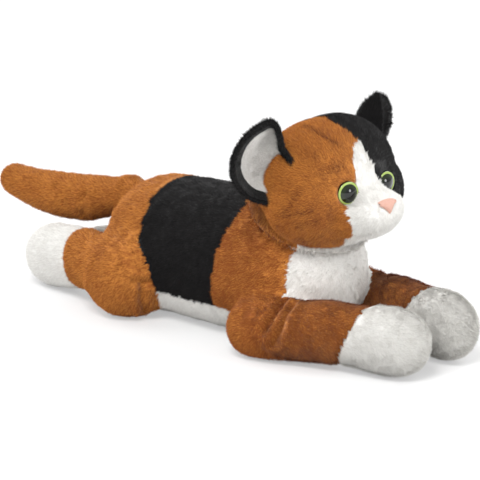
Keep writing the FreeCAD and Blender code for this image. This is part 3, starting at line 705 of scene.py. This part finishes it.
def body_folds():
    """Folds of the slack cloth, as lines of points in millimetres with their half width and depth."""
    folds = []
    for side, sign in SIDES.items():
        shoulder = np.array(PIVOTS[f"front_leg_{side}"]) / MM
        hip = np.array(PIVOTS[f"hind_leg_{side}"]) / MM

        def beside(root, *steps):
            return [root + np.array((x, y * sign, z)) for x, y, z in steps]

        folds += [
            (beside(shoulder, (21, -4, 22), (24, 8, 16), (21, 15, 6)), 3.2, 4.2),
            (beside(shoulder, (31, -2, 21), (32, 12, 8), (28, 16, -4)), 3.2, 3.6),
            (beside(shoulder, (4, 2, 32), (2, 12, 24), (0, 19, 10)), 3.6, 2.4),
            (beside(hip, (27, 20, 3), (33, 8, 1)), 2.6, 3.6),
            (beside(hip, (29, 15, -2), (25, 12, -14), (21, 3, -26)), 2.8, 3.4),
            (beside(hip, (-27, -8, 34), (-21, 12, 27), (-19, 24, 14), (-20, 27, 0)), 4.0, 3.4),
        ]
    root = np.array(PIVOTS["tail"]) / MM
    folds += [
        ([root + (-9, -18, 8), root + (-6, -19, -10)], 3.0, 3.4),
        ([root + (-34, -17, 0), root + (-40, -11, -22)], 3.0, 3.2),
        ([root + (-68, -15, 2), root + (-73, -10, -18)], 3.0, 2.0),
    ]
    return folds


def body_form():
    """Trunk, legs and tail as one stuffed cloth form, and the group of solids that each face covers."""
    groups = [TORSO_NODES] + [leg.nodes for leg in legs] + [["tail_skin", "tail_stuffing"]]
    form = fused_form("body_form", sum(groups, ["torso_stuffing"]), 2.6 * MM)
    modified(form, "SMOOTH", factor=0.5, iterations=3)
    places = points(form)
    plumped(form, nearest_of(groups, places))
    places = points(form)
    share = sum(dent(np.linalg.norm(places - leg.root - leg.way * 4 * MM, axis=1), 46) for leg in legs)
    share += dent(np.linalg.norm(places - np.array(PIVOTS["tail"]), axis=1), 30)
    filled(form, 0.75 * np.minimum(share, 1))
    modified(form, "SMOOTH", factor=0.5, iterations=4)
    stuffed(form, lambda spots: (torso_seams(spots) < 2 * MM) | (spots[:, 2] < 3 * MM), cap=2.5 * MM)
    places = points(form)
    owner = nearest_of(groups, places)
    press = 0.9 * MM * dent(torso_seams(places), 3.0) * (owner == 0)
    for count, leg in enumerate(legs):
        depth = LEGS[leg.kind]["groove"] * MM
        press += depth * dent(leg.past_seam(places), 2.6) * (owner == count + 1)
    set_points(form, places - normals(form) * press[:, None])
    creased(form, body_folds())
    settled(form)
    return form, nearest_of(groups, face_centres(form))


def body():
    form, owner = body_form()
    centres = face_centres(form)
    part = torso_panel_at(centres)
    for count, (name, colour) in enumerate(TORSO_PANELS):
        skin = panel(form, name, (owner == 0) & (part == count))
        dressed(skin, "trunk", colour, [TORSO_NODES[count]], along(*BODY_COMB), 100 + count,
                dark=FRONT_SHADE if name == "torso_shoulders" else 0.0)
    jag = scattered(centres, 3 * MM, 9) * 1.4 * MM
    for count, leg in enumerate(legs):
        sleeve, paw, stuffing = leg.nodes
        toes = leg.past_seam(centres) + jag > 0
        start, end = (leg.at(reach) for reach in LEGS[leg.kind]["bend"])
        skin = panel(form, f"{sleeve}_plush", (owner == count + 1) & ~toes)
        dressed(skin, ("trunk", leg.body, start, end), "orange", [sleeve, stuffing], leg.comb, 200 + count,
                dark=FRONT_SHADE if leg.kind == "front" else 0.0)
        skin = panel(form, f"{paw}_plush", (owner == count + 1) & toes)
        dressed(skin, leg.body, "white", [paw], leg.comb, 220 + count)
    skin = panel(form, "tail_plush", owner == len(legs) + 1)
    root = PIVOTS["tail"]
    bend = ("trunk", "tail", tuple(root), tuple(root - Vector((30 * MM, 0, 0))))
    dressed(skin, bend, "orange", ["tail_skin", "tail_stuffing"], along(-0.85, 0, -0.1), 300)
    bpy.data.objects.remove(form)


# ------------------------------------------------------------------------------ head
def face_side(rise, edge):
    """How far the white face reaches to one side of the middle, at each height from the head's centre."""
    heights, reaches = zip(*edge)
    return np.interp(rise, heights, reaches) * MM


CAT_RIGHT_EDGE = [(-60, 8), (-42, 12), (-32, 21), (-24, 27), (-12, 29), (-7, 22), (-3, 14), (10, 13),
                  (20, 13), (29, 8), (33, 0)]
CAT_LEFT_EDGE = [(-60, 8), (-42, 12), (-32, 21), (-24, 27), (-12, 29), (-7, 24), (-3, 13), (8, 8),
                 (20, 4), (30, 1), (33, 0)]
CROWN_SEAM = [(-30, -4), (10, -9), (27, -1)]
# Each brown line: its points from the head's centre, its half width and how brown it is. The three low on the
# cheek lie along its creases, and their brown is partly the fabric's own marking and partly painted shade of
# those creases.
STRIPES_AND_CREASE_SHADE = [
    ([(-8, -22, 42), (5, -25, 41), (15, -24, 37), (22, -20, 33)], 1.5, 0.85),
    ([(8, -44, 26), (20, -35, 26)], 2.6, 0.25),
    ([(24, -36, 16), (28, -29, 18), (30, -23, 18)], 3.2, 0.4),
    # Low on the cheek, along its creases: brown marking and painted shade of the creases.
    ([(10, -61, -12), (14, -58, -4), (16, -53, 3)], 2.6, 0.42),
    ([(9, -61, -14), (18, -57, -12), (26, -50, -10)], 2.0, 0.6),
    ([(17, -55, -21), (23, -51, -18), (28, -46, -18)], 2.8, 0.42),
]


def stripes_and_crease_shade(places):
    """How brown the orange side of the head is at each place: brown markings, and on the cheek painted shade
    along its creases.
    """
    near = places - np.array(HEAD)
    return np.max([depth * dent(distance_to(near, line), width) for line, width, depth in STRIPES_AND_CREASE_SHADE], axis=0)


def head_panel_at(places):
    """0 on the white face, 1 on the black side and 2 on the orange side."""
    near = places - np.array(HEAD)
    rise = near[:, 2] / MM
    jag = scattered(places, 3 * MM, 5) * 1.3 * MM
    white = (near[:, 1] + jag > -face_side(rise, CAT_RIGHT_EDGE)) & (near[:, 0] > 0)
    white &= near[:, 1] + jag < face_side(rise, CAT_LEFT_EDGE)
    crown = np.interp(near[:, 0] / MM, *zip(*CROWN_SEAM)) * MM
    return np.where(white, 0, np.where(near[:, 1] + 0.5 * jag > crown, 1, 2))


def head():
    form = fused_form("head_form", ["head_orange_panel", "head_black_panel", "head_face_panel",
                                    "head_stuffing"], 2.0 * MM)
    modified(form, "SMOOTH", factor=0.5, iterations=4)
    comb = away_from(NOSE + Vector((12 * MM, 0, 6 * MM)))
    part = head_panel_at(face_centres(form))
    names = [("face_plush", "white", "head_face_panel"), ("head_black_plush", "black", "head_black_panel"),
             ("head_orange_plush", "orange", "head_orange_panel")]
    for count, (name, colour, node) in enumerate(names):
        skin = panel(form, name, part == count)
        # The orange side gets the brown marks, painted shade of the cheek's creases among them.
        dressed(skin, "head", colour, [node], comb, 400 + count, length=2.8, density=6.0,
                stripe=stripes_and_crease_shade if colour == "orange" else None)
    bpy.data.objects.remove(form)


COLLAR_FRONT = 37 * MM
COLLAR_BACK = 14 * MM


def collar():
    """The fold of cloth round the neck: orange beside and behind it, white in front."""
    form = fused_form("collar_form", ["neck_collar"], 1.4 * MM)
    modified(form, "SMOOTH", factor=0.5, iterations=3)
    centres = face_centres(form)
    jag = scattered(centres, 3 * MM, 6) * 1.4 * MM
    front = (np.abs(centres[:, 1]) + jag < COLLAR_FRONT) & (centres[:, 0] > BIB_SEAM - COLLAR_BACK)
    for name, colour, chosen in (("collar_plush", "orange", ~front), ("collar_front_plush", "white", front)):
        skin = panel(form, name, chosen)
        dressed(skin, "neck", colour, ["neck_collar"], towards(HEAD), 500, length=4.2, density=6.0,
                stand=0.9, cloth=False)
    bpy.data.objects.remove(form)


# ------------------------------------------------------------------------------ ears
EAR_TURN = math.radians(50)
EAR_BASE = Vector((-8.0, 60.6, 12.6)) * MM
EAR_MIDDLE = np.array((6.0, 4.0))
EAR_ARCS = [((-18, -13), (0, -19.5), 60), ((0, -19.5), (25, -3), 27), ((25, -3), (19.5, 30), 30),
            ((19.5, 30), (13.5, 33.5), 5), ((13.5, 33.5), (1, 20.5), 62), ((1, 20.5), (-18, 9), 60),
            ((-18, 9), (-18, -13), 400)]
EAR_CUP = 20
EAR_CURL = 13
EAR_CLOTH = 2.4 * MM
LINING_MARGIN = 4.4
LINING_LIFT = 1.6
EAR_FOLDS = {joint["child"]: Vector(joint["axis"]) for joint in frame["joints"]}


def arc(start, end, radius, steps=9):
    """Points of an arc that bulges to the right of the way from start to end, without its end."""
    start, end = np.array(start, float), np.array(end, float)
    chord = end - start
    half = np.linalg.norm(chord) / 2
    right = np.array((chord[1], -chord[0])) / (2 * half)
    centre = (start + end) / 2 - right * math.sqrt(radius ** 2 - half ** 2)
    opening = math.asin(half / radius)
    turns = np.linspace(-opening, opening, steps)[:-1]
    ahead = chord / (2 * half)
    return [centre + radius * (math.cos(turn) * right + math.sin(turn) * ahead) for turn in turns]


def ear_outline(turns):
    """How far the edge of the ear is from its middle in each direction, in millimetres."""
    edge = np.array([place for stretch in EAR_ARCS for place in arc(*stretch)]) - EAR_MIDDLE
    heading = np.unwrap(np.arctan2(edge[:, 1], edge[:, 0]))
    order = np.argsort(heading % (2 * math.pi))
    return np.interp(turns, (heading % (2 * math.pi))[order], np.linalg.norm(edge, axis=1)[order],
                     period=2 * math.pi)


def ear_opening(side):
    """The level direction in which an ear opens."""
    return np.array((math.cos(EAR_TURN), SIDES[side] * math.sin(EAR_TURN), 0))


def ear_sheet(name, side, margin, lift):
    """A cupped leaf of cloth: rings and spokes, bent back in the middle and forward along its rim."""
    rings, spokes = 26, 120
    bpy.ops.object.select_all(action="DESELECT")
    bpy.ops.mesh.primitive_grid_add(x_subdivisions=rings, y_subdivisions=spokes, size=2.0)
    sheet = bpy.context.object
    sheet.name = name
    grid = points(sheet)
    share = (grid[:, 0] + 1) / 2
    turns = (grid[:, 1] + 1) * math.pi
    radius = share * (ear_outline(turns) - margin)
    flat = EAR_MIDDLE + np.column_stack((np.cos(turns), np.sin(turns))) * radius[:, None]
    whole = radius / ear_outline(turns)
    back = EAR_CUP * (1 - whole ** 4)
    curl = EAR_CURL * np.clip(1 - ((flat[:, 1] - 2) / 30) ** 2, 0, 1) * ramp(flat[:, 0], -4, 26)
    forward = (curl - back + lift) * MM
    sign = SIDES[side]
    opening = ear_opening(side)
    upward = np.array(EAR_FOLDS[f"ear_{side}"]) * sign
    outward = np.cross(opening, upward) * -sign
    base = np.array(HEAD + Vector((EAR_BASE.x, EAR_BASE.y * sign, EAR_BASE.z)))
    places = base + np.outer(flat[:, 0], outward) * MM + np.outer(flat[:, 1], upward) * MM
    set_points(sheet, places + np.outer(forward, opening))
    merged(sheet, 0.01 * MM)
    if (normals(sheet) @ opening).sum() < 0:
        bpy.ops.object.mode_set(mode="EDIT")
        bpy.ops.mesh.select_all(action="SELECT")
        bpy.ops.mesh.flip_normals()
        bpy.ops.object.mode_set(mode="OBJECT")
    return sheet


def ear(side):
    """A black back with a longer tuft at its tip, and a white lining that keeps the back's pile off it."""
    root = Vector((HEAD.x, SIDES[side] * 20 * MM, HEAD.z))
    back = ear_sheet(f"ear_back_{side}_plush", side, 0.0, 0.0)
    modified(back, "SOLIDIFY", thickness=EAR_CLOTH, offset=-1.0)
    top = points(back)[:, 2].max()

    def tip(places):
        return 0.7 * ramp(places[:, 2], top - 14 * MM, top - 2 * MM)

    lining = ear_sheet(f"ear_lining_{side}_plush", side, LINING_MARGIN, LINING_LIFT)
    cover = BVHTree.FromObject(lining, bpy.context.evaluated_depsgraph_get())

    def lined(places, outward):
        near = np.array([cover.find_nearest(place)[3] for place in places]) < 1.95 * MM
        return near & (outward @ ear_opening(side) > 0.2)

    dressed(back, f"ear_{side}", "black", [f"ear_back_{side}"], away_from(root), 600, density=6.0,
            tuft=tip, cloth=False, hidden=lined)
    dressed(lining, f"ear_{side}", "white", [f"ear_lining_{side}"], away_from(root), 620, length=2.4,
            density=6.0)


# ------------------------------------------------------------------------------ eyes and nose
EYE_TURNS = {"left": math.radians(-5), "right": math.radians(-17)}
EYE_SHIFTS = {"left": -1.5, "right": 0.0}
EYE_DEPTH = 4.6
EYE_RIM = 8.8
DOME_EDGE = 6.9
DOME_RISE = 2.4
EYE_PROFILE = [(radius, 0.3 + DOME_RISE * (1 - (radius / DOME_EDGE) ** 2))
               for radius in np.linspace(0, DOME_EDGE, 12)]
EYE_PROFILE += [(7.1, 0.3), (7.8, 0.25), (8.4, 0.0), (EYE_RIM, -0.6), (EYE_RIM, -3.5), (0, -3.5)]


def lathed(name, profile, centre, ahead, spokes=64):
    """A turned form: radii and heights in millimetres, spun about a level line."""
    bpy.ops.object.select_all(action="DESELECT")
    bpy.ops.mesh.primitive_grid_add(x_subdivisions=4 * len(profile), y_subdivisions=spokes, size=2.0)
    turned = bpy.context.object
    turned.name = name
    grid = points(turned)
    share = (grid[:, 0] + 1) / 2 * (len(profile) - 1)
    radii, heights = zip(*profile)
    radius = np.interp(share, range(len(profile)), radii) * MM
    height = np.interp(share, range(len(profile)), heights) * MM
    turns = (grid[:, 1] + 1) * math.pi
    across = np.cross((0, 0, 1), ahead)
    places = np.outer(radius * np.cos(turns), across) + np.outer(radius * np.sin(turns), (0, 0, 1))
    set_points(turned, np.array(centre) + places + np.outer(height, ahead))
    merged(turned, 0.005 * MM)
    bpy.ops.object.mode_set(mode="EDIT")
    bpy.ops.mesh.normals_make_consistent(inside=False)
    bpy.ops.object.mode_set(mode="OBJECT")
    bpy.ops.object.shade_smooth_by_angle(angle=math.radians(35))
    return turned


def eye_finish(side, centre, across):
    """Black pupil, dark green iris and a thin bright green ring, under a clear polish, with a dark band round
    the edge that is painted shadow where the eye sits in the face.
    """
    def paint(tree, place):
        def dot(first, second):
            return tree.node("ShaderNodeVectorMath", {"operation": "DOT_PRODUCT"}, {0: first, 1: second}, 1)

        offset = tree.node("ShaderNodeVectorMath", {"operation": "SUBTRACT"}, {0: place, 1: centre})
        sideways, upright = dot(offset, across), dot(offset, (0, 0, 1))
        radius = tree.node("ShaderNodeMath", {"operation": "SQRT"},
                           {0: sideways * sideways + upright * upright})
        streaks = tree.cloud(place, 1.2 * MM)
        iris = tree.steps(radius, 3.6 * MM, 5.2 * MM)
        ring = tree.steps(radius, 6.9 * MM, 7.1 * MM)
        # rim: the dark band at the eye's edge, a painted shadow where the eye sits in the face
        rim = tree.steps(radius, 8.45 * MM, 8.6 * MM)
        colour = tree.mixed(iris, rgb(5, 6, 5), tree.mixed(streaks, rgb(12, 20, 8), rgb(34, 46, 16)))
        colour = tree.mixed(ring, colour, rgb(160, 182, 92))
        colour = tree.mixed(rim, colour, rgb(14, 16, 10))
        return colour, 0.07 + ring * 0.2, streaks, 0.0
    return finished_material(f"eye_{side}_plastic", paint, Coat_Weight=0.8, Coat_Roughness=0.03,
                             Specular_IOR_Level=0.2)


def eyes():
    """Low domes with a ring round the pupil, seated in the face."""
    for side, turn in EYE_TURNS.items():
        low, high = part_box(f"eye_{side}")
        ahead = Vector((math.cos(turn), math.sin(turn), 0))
        middle = (low + high) / 2
        centre = Vector((high.x - EYE_DEPTH * MM, middle.y + EYE_SHIFTS[side] * MM, middle.z))
        dome = lathed(f"eye_{side}_dome", EYE_PROFILE, centre, np.array(ahead))
        dome.data.materials.clear()
        dome.data.materials.append(eye_finish(side, centre, Vector((-math.sin(turn), math.cos(turn), 0))))
        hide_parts(f"eye_{side}")
        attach(dome, "head")


NOSE_THREADS = 17


def nose():
    """Satin stitches: upright threads side by side, long in the middle and short at both ends."""
    graph = bpy.context.evaluated_depsgraph_get()
    face = BVHTree.FromObject(nodes["nose_stitching"], graph)
    half = (NOSE_HIGH.y - NOSE_LOW.y) / 2
    drop = NOSE_HIGH.z - NOSE_LOW.z
    pink = finished_material("nose_thread", nose_paint, Sheen_Weight=0.3, Specular_IOR_Level=0.4)
    threads = []
    for step in range(NOSE_THREADS):
        share = 2 * (step + 0.5) / NOSE_THREADS - 1
        y = share * half * 0.96
        top = NOSE_HIGH.z - 0.1 * drop * share ** 2
        bottom = NOSE_HIGH.z - drop * (0.24 + 0.6 * (1 - abs(share)) ** 1.4)
        path = []
        for part in np.linspace(0, 1, 7):
            z = top + (bottom - top) * part
            hit = face.ray_cast(Vector((NOSE_HIGH.x + 20 * MM, y, z)), Vector((-1, 0, 0)))[0]
            near = hit or face.find_nearest(Vector((NOSE_HIGH.x, y, z)))[0]
            path.append(Vector((near.x + (0.35 + 0.5 * math.sin(math.pi * part)) * MM, y, z)))
        path[0].x -= 1.2 * MM
        path[-1].x -= 1.2 * MM
        threads.append(thread(path, half / NOSE_THREADS * 1.35))
    bpy.ops.object.select_all(action="DESELECT")
    for piece in threads:
        piece.select_set(True)
    bpy.context.view_layer.objects.active = threads[0]
    bpy.ops.object.join()
    stitched = threads[0]
    stitched.name = "nose_satin_stitches"
    stitched.data.materials.clear()
    stitched.data.materials.append(pink)
    only(stitched)
    bpy.ops.object.shade_smooth()
    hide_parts("nose_stitching")
    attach(stitched, "head")


def nose_paint(tree, place):
    twist = tree.cloud(place, 0.5 * MM)
    colour = tree.mixed(twist, rgb(200, 150, 134), rgb(218, 176, 158))
    return colour, 0.55 + twist * 0.2, twist, 0.12 * MM


def thread(path, radius):
    """A round thread along a path, closed at both ends."""
    curve = bpy.data.curves.new("thread", "CURVE")
    curve.dimensions = "3D"
    curve.bevel_depth = radius
    curve.bevel_resolution = 2
    curve.use_fill_caps = True
    spline = curve.splines.new("POLY")
    spline.points.add(len(path) - 1)
    for corner, place in zip(spline.points, path):
        corner.co = (*place, 1)
    holder = bpy.data.objects.new("thread", curve)
    bpy.context.scene.collection.objects.link(holder)
    only(holder)
    bpy.ops.object.convert(target="MESH")
    return bpy.context.object


# ------------------------------------------------------------------------------ inside the cat
def fibre_paint(tree, place):
    strands = tree.cloud(place, 4 * MM, 6.0)
    colour = tree.mixed(strands, rgb(214, 214, 212), rgb(242, 242, 240))
    return colour, 0.85 + strands * 0.1, strands, 1.5 * MM


def weave_paint(tree, place):
    """Plain cloth of crossing threads."""
    def threads(direction):
        settings = {"wave_type": "BANDS", "bands_direction": direction}
        return tree.node("ShaderNodeTexWave", settings, {"Vector": place, "Scale": 0.31 / MM}, "Fac")

    cross = threads("X") * threads("Y")
    colour = tree.mixed(cross, rgb(188, 182, 168), rgb(222, 217, 205))
    return colour, 0.8 + cross * 0.1, cross, 0.15 * MM


def bean_paint(tree, place):
    """A heap of round plastic beans, with painted shade in the gaps between them."""
    sockets = {"Vector": place, "Scale": 1 / (3 * MM)}
    gap = tree.node("ShaderNodeTexVoronoi", {"feature": "F1"}, sockets, "Distance")
    # Painted shade: grey towards the gaps between the beans, light on their middles.
    colour = tree.mixed(tree.steps(gap, 0.2, 0.7), rgb(236, 236, 232), rgb(150, 150, 146))
    return colour, 0.35 + gap * 0.2, 1 - gap, 1.2 * MM


def nylon_paint(tree, place):
    swirl = tree.cloud(place, 6 * MM)
    colour = tree.mixed(swirl, rgb(212, 212, 208), rgb(228, 228, 224))
    return colour, 0.4 + swirl * 0.1, tree.cloud(place, 0.4 * MM), 0.03 * MM


def inside():
    """Finish the solids that the plush hides."""
    paints = {"stuffing": fibre_paint, "bean_pouch": weave_paint, "bean_fill": bean_paint,
              "washer": nylon_paint}
    for title, paint in paints.items():
        finish = finished_material(f"{title}_finish", paint, Specular_IOR_Level=0.3)
        for name, node in nodes.items():
            if title in name:
                node.data.materials.clear()
                node.data.materials.append(finish)


# ------------------------------------------------------------------------------ stage
def stage():
    bpy.ops.mesh.primitive_plane_add(size=8.0, location=(0, 0, 0))
    floor = bpy.context.object
    floor.name = "floor"
    material = bpy.data.materials.new("floor_white")
    material.use_nodes = True
    tree = Tree(material.node_tree)
    matt = tree.node("ShaderNodeBsdfDiffuse", {}, {"Color": (0.9, 0.9, 0.9, 1.0)})
    glow = tree.node("ShaderNodeEmission", {}, {"Color": (1, 1, 1, 1), "Strength": 1.0})
    seen = tree.node("ShaderNodeLightPath", output="Is Camera Ray")
    both = tree.node("ShaderNodeMixShader", {}, {0: seen * 0.42, 1: matt, 2: glow})
    tree.node("ShaderNodeOutputMaterial", {}, {"Surface": both})
    floor.data.materials.append(material)


LAMPS = {"key": ((0.9, -1.6, 2.2), 1.1, 52), "fill": ((-1.8, -0.6, 1.6), 1.8, 20),
         "glint": ((2.0, 0.35, 0.5), 0.6, 7), "back": ((0.4, 1.8, 1.8), 1.6, 22)}


def lamp(name, place, size, power):
    light = bpy.data.lights.new(name, "AREA")
    light.shape = "DISK"
    light.size = size
    light.energy = power
    holder = bpy.data.objects.new(name, light)
    holder.location = place
    holder.rotation_mode = "QUATERNION"
    holder.rotation_quaternion = Vector(place).to_track_quat("Z", "Y")
    bpy.context.scene.collection.objects.link(holder)


def sky():
    """A dim white surround, full white where the camera sees it."""
    world = bpy.data.worlds.new("studio")
    world.use_nodes = True
    tree = Tree(world.node_tree)
    seen = tree.node("ShaderNodeLightPath", output="Is Camera Ray")
    strength = seen * 0.4 + 0.6
    backdrop = tree.node("ShaderNodeBackground", {}, {"Color": (1, 1, 1, 1), "Strength": strength})
    tree.node("ShaderNodeOutputWorld", {}, {"Surface": backdrop})
    bpy.context.scene.world = world


def camera():
    lens = bpy.data.cameras.new("camera")
    lens.lens = 240
    lens.sensor_width = 36
    holder = bpy.data.objects.new("camera", lens)
    azimuth, height = math.radians(43), math.radians(15.4)
    back = Vector((math.sin(azimuth) * math.cos(height), -math.cos(azimuth) * math.cos(height),
                   math.sin(height)))
    middle = (cad_box[0] + cad_box[1]) / 2
    aim = Vector((middle.x + 37.5 * MM, -11.7 * MM, 68.3 * MM))
    holder.location = aim + back * 2.4
    holder.rotation_mode = "QUATERNION"
    holder.rotation_quaternion = back.to_track_quat("Z", "Y")
    bpy.context.scene.collection.objects.link(holder)
    bpy.context.scene.camera = holder


body()
head()
collar()
for side in SIDES:
    ear(side)
eyes()
nose()
inside()
bpy.data.objects.remove(blade)

stage()
sky()
camera()
for name, (place, size, power) in LAMPS.items():
    lamp(name, place, size, power)
bpy.context.scene.view_settings.view_transform = "Standard"
